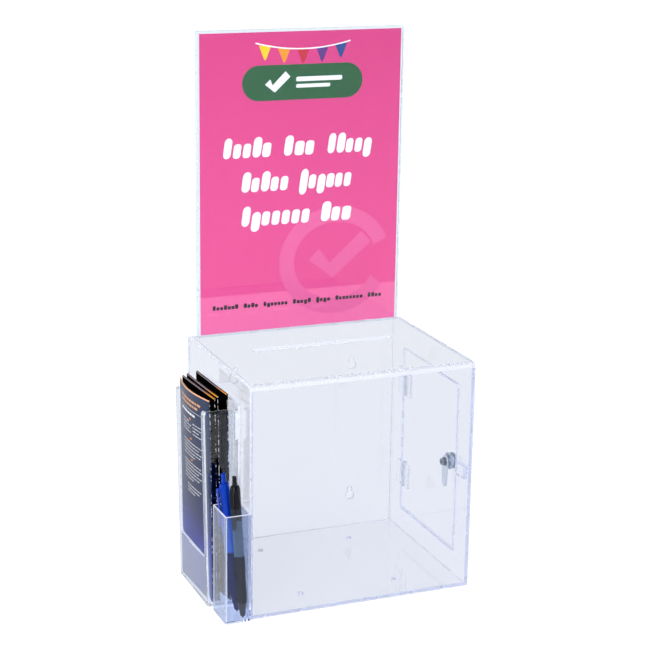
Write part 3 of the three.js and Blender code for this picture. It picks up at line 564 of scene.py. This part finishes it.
penSettings = [
    ("Refill", "refill", refillTube, refillTube, "refill_plastic", "refill_plastic", 0.05),
    ("Nose", "nose", navyRubber, blackAbs, "blue_plastic", "black_plastic", 0.1),
    ("Grip", "grip", navyRubber, blackRubber, "blue_rubber", "black_rubber", 0.25),
    ("Barrel", "barrel", blueClear, smokeClear, "blue_clear_plastic", "smoke_clear_plastic", 0.1),
    ("UpperBarrel", "upper_barrel", blueAbs, blackAbs, "blue_plastic", "black_plastic", 0.2),
    ("Plunger", "plunger", blueAbs, blackAbs, "blue_plastic", "black_plastic", 0.3),
]
for part, node, blueFinish, blackFinish, blueSlot, blackSlot, ease in penSettings:
    easedCopy("bluePen" + part, "blue_pen_" + node, blueFinish, ease)
    easedCopy("blackPen" + part, "black_pen_" + node, blackFinish, ease)
print("pens made")


# poster: one printed sheet, with its inks as thin layers on the front

posterLow, posterHigh = [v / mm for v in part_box("poster_sheet")]
posterSettings = {
    "left": posterLow.x, "right": posterHigh.x, "bottom": posterLow.z, "top": posterHigh.z,
    "middle": (posterLow.y + posterHigh.y) / 2, "thickness": 0.2, "ripple": 0.08,
    "columns": 14, "rows": 20,
    "upper": "#DC3280", "centre": "#E83F8B", "lower": "#F44A93", "band": "#FF6EA8",
    "bandTop": 0.13, "bandEdge": 0.001, "centreAt": 0.6,    # shares of the height, from the bottom
    "inkLift": 0.04, "inkDepth": 0.02,
}


def posterPaper(s):
    # silk-coated paper, digitally printed: a pink that brightens downwards, over faint paper mottle
    material, tree = emptyMaterial("printedPosterPaper")
    spot = {"Vector": addNode(tree, "ShaderNodeTexCoord").outputs["Object"]}
    axes = addNode(tree, "ShaderNodeSeparateXYZ", links=spot)
    height = addNode(tree, "ShaderNodeMapRange", {"From Min": s["bottom"] * mm, "From Max": s["top"] * mm},
                     {"Value": axes.outputs["Z"]})
    ramp = addNode(tree, "ShaderNodeValToRGB", links={0: height.outputs["Result"]})
    stops = ramp.color_ramp.elements
    stops[0].position, stops[0].color = 0.0, linear(s["band"])
    stops[1].position, stops[1].color = 1.0, linear(s["upper"])
    for position, colour in ((s["bandTop"], s["band"]), (s["bandTop"] + s["bandEdge"], s["lower"]),
                             (s["centreAt"], s["centre"])):
        stop = stops.new(position)
        stop.color = linear(colour)
    mottle = addNode(tree, "ShaderNodeTexNoise", {"Scale": 700.0, "Detail": 3.0}, spot)
    value = addNode(tree, "ShaderNodeMapRange", {"To Min": 0.985, "To Max": 1.015},
                    {"Value": mottle.outputs[0]})
    tone = addNode(tree, "ShaderNodeHueSaturation", links={"Color": ramp.outputs[0],
                   "Value": value.outputs["Result"]})
    paper = addNode(tree, "ShaderNodeBsdfPrincipled", {"Roughness": 0.55, "Specular IOR Level": 0.3},
                    {"Base Color": tone.outputs[0]})
    addNode(tree, "ShaderNodeOutputMaterial", links={"Surface": paper.outputs[0]})
    return material


def posterWave(s, x):
    return s["ripple"] * math.sin((x - s["left"]) * 2 * math.pi / (s["right"] - s["left"]))


def posterSheet(s):
    points, faces = [], []
    for side in (-0.5, 0.5):
        for row in range(s["rows"] + 1):
            z = s["bottom"] + (s["top"] - s["bottom"]) * row / s["rows"]
            for column in range(s["columns"] + 1):
                x = s["left"] + (s["right"] - s["left"]) * column / s["columns"]
                points.append((x, s["middle"] + posterWave(s, x) + side * s["thickness"], z))
    wide, tall = s["columns"] + 1, s["rows"] + 1
    at = lambda side, row, column: (side * tall + row) * wide + column
    for row in range(tall - 1):
        for column in range(wide - 1):
            for side in (0, 1):
                faces.append((at(side, row, column), at(side, row, column + 1),
                              at(side, row + 1, column + 1), at(side, row + 1, column)))
    for row in range(tall - 1):
        for column in (0, wide - 1):
            faces.append((at(0, row, column), at(0, row + 1, column),
                          at(1, row + 1, column), at(1, row, column)))
    for column in range(wide - 1):
        for row in (0, tall - 1):
            faces.append((at(0, row, column), at(0, row, column + 1),
                          at(1, row, column + 1), at(1, row, column)))
    mesh = newMesh("poster", points, faces)
    newPiece("poster", mesh, posterPaper(s), "poster", ["poster_sheet"])


def inkLayer(name, outlines, material, s, lift=1):
    # outlines are given in shares of the sheet: x from the left, y from the top; each becomes a thin patch
    wide, tall = s["right"] - s["left"], s["top"] - s["bottom"]
    points, faces = [], []
    for outline in outlines:
        start, count = len(points), len(outline)
        for depth in (0, s["inkDepth"]):
            for x, y in outline:
                px = s["left"] + x * wide
                front = s["middle"] + posterWave(s, px) - s["thickness"] / 2 - s["inkLift"] * lift
                points.append((px, front - depth, s["top"] - y * tall))
        faces.append(tuple(range(start, start + count)))
        faces.append(tuple(range(start + 2 * count - 1, start + count - 1, -1)))
        for i in range(count):
            j = (i + 1) % count
            faces.append((start + i, start + j, start + count + j, start + count + i))
    newPiece(name, newMesh(name, points, faces), material, "poster")


def roundedBar(x0, x1, y0, y1, slant=0.0, radius=0.3, steps=4):
    # a bar with round corners, leaning to the right by slant; radius is a share of its height
    high = y1 - y0
    aspect = (posterHigh.z - posterLow.z) / (posterHigh.x - posterLow.x)
    ry = radius * high
    rx = min(ry * aspect, (x1 - x0) / 2)
    points = []
    corners = ((x1 - rx, y0 + ry, -90), (x1 - rx, y1 - ry, 0),
               (x0 + rx, y1 - ry, 90), (x0 + rx, y0 + ry, 180))
    for cx, cy, turn in corners:
        for i in range(steps + 1):
            angle = math.radians(turn + 90 * i / steps)
            points.append((cx + rx * math.cos(angle), cy + ry * math.sin(angle)))
    return [(x + (y1 - y) * slant, y) for x, y in points]


blockSettings = {
    "small": 0.3,              # a small letter's place starts this share below the top of a tall one
    "hang": 0.28,              # and a hanging one ends this share below the foot
    "wide": 0.86, "narrow": 0.78,    # shares of the step
    "radius": 0.22,
}


def wordBlocks(x0, x1, top, foot, pitch, slant, start=0):
    # a word as a row of plain blocks: most as tall as small letters, a few rising or hanging
    count = max(2, round((x1 - x0) / pitch))
    step = (x1 - x0) / count
    s = blockSettings
    small = top + (foot - top) * s["small"]
    blocks = []
    for i in range(count):
        kind = (start + i * 5 + i * i) % 7
        high = top if i == 0 or kind == 3 else small
        low = foot + (foot - top) * s["hang"] if kind == 5 else foot
        wide = step * (s["wide"] if kind % 2 else s["narrow"])
        left = x0 + i * step
        lean = (foot - low) * slant
        bar = roundedBar(left, left + wide, high, low, slant, s["radius"])
        blocks.append([(x + lean, y) for x, y in bar])
    return blocks


def strokeOutline(path, width):
    # a pen stroke of even width along a path, in shares of the sheet's width; y is stretched to match
    aspect = (posterHigh.x - posterLow.x) / (posterHigh.z - posterLow.z)
    sides = ([], [])
    for i, (x, y) in enumerate(path):
        x0, y0 = path[max(i - 1, 0)]
        x1, y1 = path[min(i + 1, len(path) - 1)]
        dx, dy = x1 - x0, (y1 - y0) / aspect
        size = math.hypot(dx, dy)
        for side, sign in zip(sides, (1, -1)):
            side.append((x - sign * dy / size * width / 2, y + sign * dx / size * width / 2 * aspect))
    return sides[0] + sides[1][::-1]


printSettings = {    # places and sizes are shares of the sheet
    "badge": {"middle": (0.505, 0.165), "size": (0.3, 0.058), "colour": "#00592B"},
    "tick": {"path": [(0.33, 0.162), (0.36, 0.185), (0.43, 0.138)], "width": 0.035},
    "badgeWords": {"slant": 0.16, "bars": [(0.47, 0.70, 0.148, 0.163), (0.47, 0.64, 0.172, 0.184)]},
    "bunting": {"left": (0.27, 0.035), "right": (0.74, 0.035), "sag": 0.022, "flag": (0.062, 0.048),
                "tip": (0.08, 0.94), "cordSteps": 24, "cordWidth": 0.006,
                "colours": ["#FFD300", "#F39A12", "#C8102E", "#5C2483", "#0B3F8A"]},
    "headline": {"colour": "#FFFFFF", "slant": 0.2, "pitch": 0.047, "lines": [
        (0.34, 0.408, [(0.11, 0.35), (0.41, 0.57), (0.63, 0.86)]),
        (0.455, 0.523, [(0.2, 0.44), (0.49, 0.76)]),
        (0.57, 0.638, [(0.2, 0.55), (0.6, 0.76)])]},
    "watermark": {"colour": "#F462A0", "width": 0.075,
                  "middle": (0.68, 0.775), "size": (0.25, 0.16), "arc": range(-20, -331, -10),
                  "tick": [(0.57, 0.75), (0.66, 0.81), (0.84, 0.70)]},
    "footLine": {"colour": "#2A1320", "y": (0.9, 0.916), "pitch": 0.019,
                 "words": [(0.06, 0.19), (0.215, 0.29), (0.315, 0.44), (0.465, 0.56), (0.585, 0.66),
                           (0.685, 0.83), (0.855, 0.93)]},
}


def posterPrint(p, s):
    white = printInk("whiteInk", p["headline"]["colour"])
    cx, cy = p["badge"]["middle"]
    rx, ry = p["badge"]["size"]
    inkLayer("posterBadge", [roundedBar(cx - rx, cx + rx, cy - ry, cy + ry, radius=0.5, steps=10)],
             printInk("greenInk", p["badge"]["colour"]), s)
    inkLayer("posterTick", [strokeOutline(p["tick"]["path"], p["tick"]["width"])], white, s, lift=2)
    words = p["badgeWords"]
    inkLayer("posterBadgeWords", [roundedBar(*bar, slant=words["slant"]) for bar in words["bars"]], white, s,
             lift=2)
    flags = p["bunting"]
    (x0, y0), (x1, _) = flags["left"], flags["right"]
    hang = lambda t: (x0 + (x1 - x0) * t, y0 + flags["sag"] * 4 * t * (1 - t))
    string = [hang(i / flags["cordSteps"]) for i in range(flags["cordSteps"] + 1)]
    inkLayer("posterCord", [strokeOutline(string, flags["cordWidth"])], white, s, lift=2)
    w, h = flags["flag"]
    tip, end = flags["tip"][0] * w, flags["tip"][1] * h
    for i, colour in enumerate(flags["colours"]):
        x, y = hang((i + 0.5) / len(flags["colours"]))
        shape = [(x - w / 2, y), (x + w / 2, y), (x + tip, y + end), (x, y + h), (x - tip, y + end)]
        inkLayer("posterFlag%d" % (i + 1), [shape], printInk("flagInk%d" % (i + 1), colour), s)
    bars, head = [], p["headline"]
    for row, (top, foot, words) in enumerate(head["lines"]):
        for n, (a, b) in enumerate(words):
            bars += wordBlocks(a, b, top, foot, head["pitch"], head["slant"], row * 3 + n * 2)
    inkLayer("posterHeadline", bars, white, s)
    mark = p["watermark"]
    (cx, cy), (rx, ry) = mark["middle"], mark["size"]
    ring = [(cx + rx * math.cos(math.radians(t)), cy + ry * math.sin(math.radians(t))) for t in mark["arc"]]
    inkLayer("posterWatermark", [strokeOutline(path, mark["width"]) for path in (ring, mark["tick"])],
             printInk("paleInk", mark["colour"]), s, lift=0.5)
    y0, y1 = p["footLine"]["y"]
    small = []
    for n, (a, b) in enumerate(p["footLine"]["words"]):
        small += wordBlocks(a, b, y0, y1, p["footLine"]["pitch"], 0, n * 3)
    inkLayer("posterFootLine", small, printInk("darkInk", p["footLine"]["colour"]), s)


posterSheet(posterSettings)
posterPrint(printSettings, posterSettings)
print("poster made")


# leaflets: folded covers round a few pages, bowed as they stand in the tray

leafletSettings = {
    "width": 80, "height": 205.5, "near": -48.75, "foot": 3.3,
    "wall": -113, "trayDepth": 32, "lean": 2.5,
    "sheet": 0.22, "columns": 14, "rows": 16, "foldSteps": 6, "inkRoom": 0.06,
    "pageDrop": 0.7, "pageInset": 0.8,
    # from the fold's edge: where its painted shade, its wear and the rim's second tone begin and end
    "foldShade": (0.6, 0.3), "foldWorn": (0.5, 0.2), "rimTurn": (12, 30),
    "stripe": 1.1, "stripeTop": 0.02,    # from the cover's top down to the stripe's end and start
    "stripeInset": 0.005,                # the share of the width that it leaves free at each side
    "stripeOut": (0.04, 0.015), "printOut": (0.05, 0.02),    # how far before the cover their faces lie
    "printStep": 4,
    "levelFace": 0.7,                    # faces that point up or down by more than this are trimmed edges
    "leaflets": [
        {"name": "frontLeaflet", "node": "leaflet_front", "body": "leaflet_1", "height": 0.976,
         "front": 0.77, "back": 0.856, "bow": 0.175, "thickness": 1.02, "pages": 1},
        {"name": "secondLeaflet", "node": "leaflet_second", "body": "leaflet_2", "height": 0.985,
         "front": 0.613, "back": 0.775, "bow": 0.012, "thickness": 1.2, "pages": 2},
        {"name": "thirdLeaflet", "node": "leaflet_third", "body": "leaflet_3", "height": 0.993,
         "front": 0.522, "back": 0.638, "bow": 0.018, "thickness": 1.2, "pages": 2},
        {"name": "rearLeaflet", "node": "leaflet_rear", "body": "leaflet_4", "height": 1.0,
         "front": 0.231, "back": 0.338, "bow": 0.01, "thickness": 1.596, "pages": 3},
    ],
}


def leafletPoint(s, leaf, across, level, offset):
    # across is the share of the width from the fold, level that of the height, offset the mm from the middle
    swell = leaf["bow"] * level * math.sin(math.pi * across)
    depth = (leaf["front"] + (leaf["back"] - leaf["front"]) * across + swell) * s["trayDepth"]
    depth -= s["lean"] * (1 - level)
    high = s["height"] * leaf["height"]
    return (s["wall"] - depth - offset, s["near"] + s["width"] * across, s["foot"] + high * level)


def foldedPath(s, leaf, inset):
    # plan of a folded sheet as (share across, offset): the front from its far edge, the fold, and the back
    centre = leaf["thickness"] / 2 / s["width"]
    half = leaf["thickness"] / 2 - inset
    front = [(1 - (1 - centre) * i / s["columns"], half) for i in range(s["columns"] + 1)]
    turn = [(centre - half / s["width"] * math.sin(math.pi * i / s["foldSteps"]),
             half * math.cos(math.pi * i / s["foldSteps"])) for i in range(1, s["foldSteps"])]
    return front + turn + [(a, -o) for a, o in reversed(front)]


def stripMesh(name, strips, place):
    # closed sheets, each between two paths of the same length that are carried up through its levels
    points, faces = [], []
    for outer, inner, levels in strips:
        first, wide = len(points), len(outer)
        for level in levels:
            points += [place(a, level, o) for a, o in outer]
            points += [place(a, level, o) for a, o in inner]
        ring = 2 * wide
        for row in range(len(levels) - 1):
            for i in range(wide - 1):
                for start in (0, wide):
                    a = first + row * ring + start + i
                    faces.append((a, a + 1, a + 1 + ring, a + ring))
            for i in (0, wide - 1):
                a = first + row * ring + i
                faces.append((a, a + ring, a + ring + wide, a + wide))
        for row in (0, len(levels) - 1):
            for i in range(wide - 1):
                a = first + row * ring + i
                faces.append((a, a + 1, a + 1 + wide, a + wide))
    return newMesh(name, points, faces)


def coverPaper(s, name, artwork):
    # gloss-coated cover. With artwork it is printed dark: a slate that the coating lifts to grey-blue at a
    # glance, softly blue low down. Without artwork it is near black and darker upwards, with no gloss:
    # painted shade of the narrow gaps between the leaflets. At the fold it turns near black, which is painted
    # shade, and the fold's ink is rubbed through to white in places
    material, tree = emptyMaterial(name)
    spot = {"Vector": addNode(tree, "ShaderNodeTexCoord").outputs["Object"]}
    axes = addNode(tree, "ShaderNodeSeparateXYZ", links=spot)
    # soft shapes 40 mm across
    cloud = addNode(tree, "ShaderNodeTexNoise", {"Scale": 26.0, "Detail": 3.0, "Distortion": 1.2}, spot)
    sway = addNode(tree, "ShaderNodeMath", {"operation": "MULTIPLY_ADD", 1: 0.06, 2: -0.03},
                   {0: cloud.outputs[0]})
    level = addNode(tree, "ShaderNodeMath", {"operation": "ADD"}, {0: axes.outputs["Z"], 1: sway.outputs[0]})
    height = addNode(tree, "ShaderNodeMapRange", {"From Min": 0.0, "From Max": 0.21},
                     {"Value": level.outputs[0]})
    ramp = addNode(tree, "ShaderNodeValToRGB", links={0: height.outputs["Result"]})
    stops = ramp.color_ramp.elements
    # without artwork: near black, darker upwards, painted shade of the gaps between the leaflets
    colours = artwork or [(0.0, "#050609"), (1.0, "#020304")]
    stops[0].position, stops[0].color = colours[0][0], linear(colours[0][1])
    stops[1].position, stops[1].color = colours[-1][0], linear(colours[-1][1])
    for position, colour in colours[1:-1]:
        stop = stops.new(position)
        stop.color = linear(colour)
    # near black towards the fold's edge: painted shade
    start, end = ((s["near"] + edge) * mm for edge in s["foldShade"])
    fold = addNode(tree, "ShaderNodeMapRange", {"From Min": start, "From Max": end},
                   {"Value": axes.outputs["Y"]})
    dark = addNode(tree, "ShaderNodeMix", {"data_type": "RGBA", 7: linear("#030406")},
                   {0: fold.outputs["Result"], 6: ramp.outputs[0]})
    crack = addNode(tree, "ShaderNodeTexNoise", {"Scale": 420.0, "Detail": 4.0}, spot)  # 2.4 mm apart
    start, end = ((s["near"] + edge) * mm for edge in s["foldWorn"])
    ridge = addNode(tree, "ShaderNodeMapRange", {"From Min": start, "From Max": end},
                    {"Value": axes.outputs["Y"]})
    rubbed = addNode(tree, "ShaderNodeMath", {"operation": "MULTIPLY"},
                     {0: ridge.outputs[0], 1: crack.outputs[0]})
    worn = addNode(tree, "ShaderNodeMapRange", {"From Min": 0.54, "From Max": 0.6},
                   {"Value": rubbed.outputs[0]})
    tone = addNode(tree, "ShaderNodeMix", {"data_type": "RGBA", 7: linear("#D9D6D2")},
                   {0: worn.outputs["Result"], 6: dark.outputs[2]})
    fibre = addNode(tree, "ShaderNodeTexNoise", {"Scale": 900.0, "Detail": 2.0}, spot)
    relief = addNode(tree, "ShaderNodeBump", {"Strength": 0.03, "Distance": 0.0001},
                     {"Height": fibre.outputs[0]})
    cover = addNode(tree, "ShaderNodeBsdfPrincipled", {"Roughness": 0.3,
                    "Specular IOR Level": 0.38 if artwork else 0.0},
                    {"Base Color": tone.outputs[2], "Normal": relief.outputs[0]})
    addNode(tree, "ShaderNodeOutputMaterial", links={"Surface": cover.outputs[0]})
    return material


def rimPaper(s, name, fold, far):
    # the trimmed top of a cover, where the ink's colour shows in the cut: one tone at the fold,
    # another beyond it
    material, tree = emptyMaterial(name)
    spot = {"Vector": addNode(tree, "ShaderNodeTexCoord").outputs["Object"]}
    axes = addNode(tree, "ShaderNodeSeparateXYZ", links=spot)
    start, end = ((s["near"] + edge) * mm for edge in s["rimTurn"])
    away = addNode(tree, "ShaderNodeMapRange", {"From Min": start, "From Max": end},
                   {"Value": axes.outputs["Y"]})
    tone = addNode(tree, "ShaderNodeMix", {"data_type": "RGBA", 6: linear(fold), 7: linear(far)},
                   {0: away.outputs["Result"]})
    fibre = addNode(tree, "ShaderNodeTexNoise", {"Scale": 1500.0, "Detail": 2.0}, spot)
    relief = addNode(tree, "ShaderNodeBump", {"Strength": 0.1, "Distance": 0.0001},
                     {"Height": fibre.outputs[0]})
    rim = addNode(tree, "ShaderNodeBsdfPrincipled", {"Roughness": 0.7, "Specular IOR Level": 0.2},
                  {"Base Color": tone.outputs[2], "Normal": relief.outputs[0]})
    addNode(tree, "ShaderNodeOutputMaterial", links={"Surface": rim.outputs[0]})
    return material


wordSettings = {"widths": (5.5, 3.5, 7.5, 4.5, 6.0), "gap": 1.1, "least": 2}


def textLines(x0, widths, top, pitch, high):
    # lines of small print, each a few blocks in the place of words
    blocks, s = [], wordSettings
    for row, width in enumerate(widths):
        x, n = x0, row
        while x < x0 + width - s["least"]:
            size = min(s["widths"][n % len(s["widths"])], x0 + width - x)
            blocks.append((x, x + size, top + row * pitch, top + row * pitch + high))
            x += size + s["gap"]
            n += 1
    return blocks


# in mm on the front leaflet's cover: x from its open edge, y down from its top; blocks stand for words
coverPrint = {
    "peach": {"colour": "#C9946C", "blocks": textLines(14, (50, 44), 9, 4.6, 2.3)},
    "white": {"colour": "#D9DCE2", "blocks": [(14, 68, 19.6, 19.95)] + textLines(14, (40,), 22.5, 4, 2.2)},
    "orange": {"colour": "#D9862F",
               "blocks": [(38, 42, 28, 29.6), (38, 42, 48, 49.6), (38, 42, 69.5, 71.1)]},
    "pale": {"colour": "#B9C2DA", "blocks": [(24, 52, 158, 160)]},
}
smallPrint = {"pitch": 3.4, "high": 0.7, "paragraphs": [
    (18, (20, 24, 19, 23), 32), (46, (18, 22, 16, 20), 32), (18, (46, 40, 48, 43, 30), 53),
    (18, (44, 48, 38, 46, 41, 24), 74), (24, (36, 32, 20), 98)]}
for x, widths, top in smallPrint["paragraphs"]:
    coverPrint["white"]["blocks"] += textLines(x, widths, top, smallPrint["pitch"], smallPrint["high"])


def leafletCover(s, leaf, levels, place, finishes):
    # the folded cover: its outside finish (print on the front leaflet, painted shade on the others), near
    # black inside, which is painted shade between the sheets, and another tone where it was trimmed
    outer, inner = foldedPath(s, leaf, s["inkRoom"]), foldedPath(s, leaf, s["inkRoom"] + s["sheet"])
    mesh = stripMesh(leaf["name"], [(outer, inner, levels)], place)
    piece = newPiece(leaf["name"], mesh, finishes, leaf["body"], [leaf["node"]])
    wide = len(outer)
    for face in mesh.polygons:
        if abs(face.normal.z) > s["levelFace"]:
            face.material_index = 2
        elif all(v % (2 * wide) >= wide for v in face.vertices):
            face.material_index = 1
    piece.visible_glossy = False


def leafletPages(s, leaf, levels, place, half, paper):
    # pages inside the cover, narrower and lower than it, and evenly apart, in the near-black finish given:
    # painted shade between the sheets
    room = 2 * (half - s["sheet"]) / (leaf["pages"] + 1)
    short = s["pageInset"] / s["width"]
    drop = 1 - s["pageDrop"] / (s["height"] * leaf["height"])
    shares = [short + (1 - 2 * short) * n / s["columns"] for n in range(s["columns"] + 1)]
    for i in range(leaf["pages"]):
        middle = half - s["sheet"] - room * (i + 1)
        front, back = ([(a, middle + side * s["sheet"] / 3) for a in shares] for side in (1, -1))
        name = leaf["name"] + "Page%d" % (i + 1)
        mesh = stripMesh(name, [(front, back, [v * drop for v in levels])], place)
        page = newPiece(name, mesh, paper, leaf["body"])
        page.visible_glossy = False


def leafletStripe(s, leaf, place, half, finish):
    # a thin stripe of the rim's tone along the top of the front
    high = s["height"] * leaf["height"]
    inset = s["stripeInset"]
    shares = [inset + (1 - 2 * inset) * n / s["columns"] for n in range(s["columns"] + 1)]
    outer, inner = ([(a, half + out) for a in shares] for out in s["stripeOut"])
    name = leaf["name"] + "Stripe"
    mesh = stripMesh(name, [(outer, inner, [1 - s["stripe"] / high, 1 - s["stripeTop"] / high])], place)
    newPiece(name, mesh, finish, leaf["body"])


def leafletPrint(s, leaf, place, half):
    # the blocks of the front cover, one piece for each ink
    high = s["height"] * leaf["height"]
    for ink, layer in coverPrint.items():
        strips = []
        for x0, x1, y0, y1 in layer["blocks"]:
            steps = max(2, round((x1 - x0) / s["printStep"]))
            shares = [1 - (x0 + (x1 - x0) * n / steps) / s["width"] for n in range(steps + 1)]
            outer, inner = ([(a, half + out) for a in shares] for out in s["printOut"])
            strips.append((outer, inner, [1 - y1 / high, 1 - y0 / high]))
        name = leaf["name"] + ink.capitalize() + "Print"
        finish = printInk(ink + "CoverInk", layer["colour"])
        newPiece(name, stripMesh(name, strips, place), finish, leaf["body"])


def leaflets(s):
    levels = [i / s["rows"] for i in range(s["rows"] + 1)]
    # the covers' insides and the pages are near black: painted shade between the sheets
    inside = printInk("paintedShadeInside", "#040507", 0.5, 0.0)
    page = printInk("paintedShadePage", "#030405", 0.5, 0.0)
    plain = [coverPaper(s, "coverPaper", None), inside, rimPaper(s, "mauveRimPaper", "#E99A34", "#96868B")]
    blues = [(0.0, "#39497F"), (0.22, "#222F88"), (0.36, "#1B2560"), (0.5, "#16264A"), (1.0, "#182A4C")]
    blue = [coverPaper(s, "artworkCoverPaper", blues), inside,
            rimPaper(s, "peachRimPaper", "#F0B088", "#F3B893")]
    for leaf in s["leaflets"]:
        half = leaf["thickness"] / 2 - s["inkRoom"]
        place = lambda across, level, offset, leaf=leaf: leafletPoint(s, leaf, across, level, offset)
        front = leaf["node"] == "leaflet_front"
        finishes = blue if front else plain
        leafletCover(s, leaf, levels, place, finishes)
        leafletPages(s, leaf, levels, place, half, page)
        leafletStripe(s, leaf, place, half, finishes[2])
        if front:
            leafletPrint(s, leaf, place, half)


leaflets(leafletSettings)
print("leaflets made")
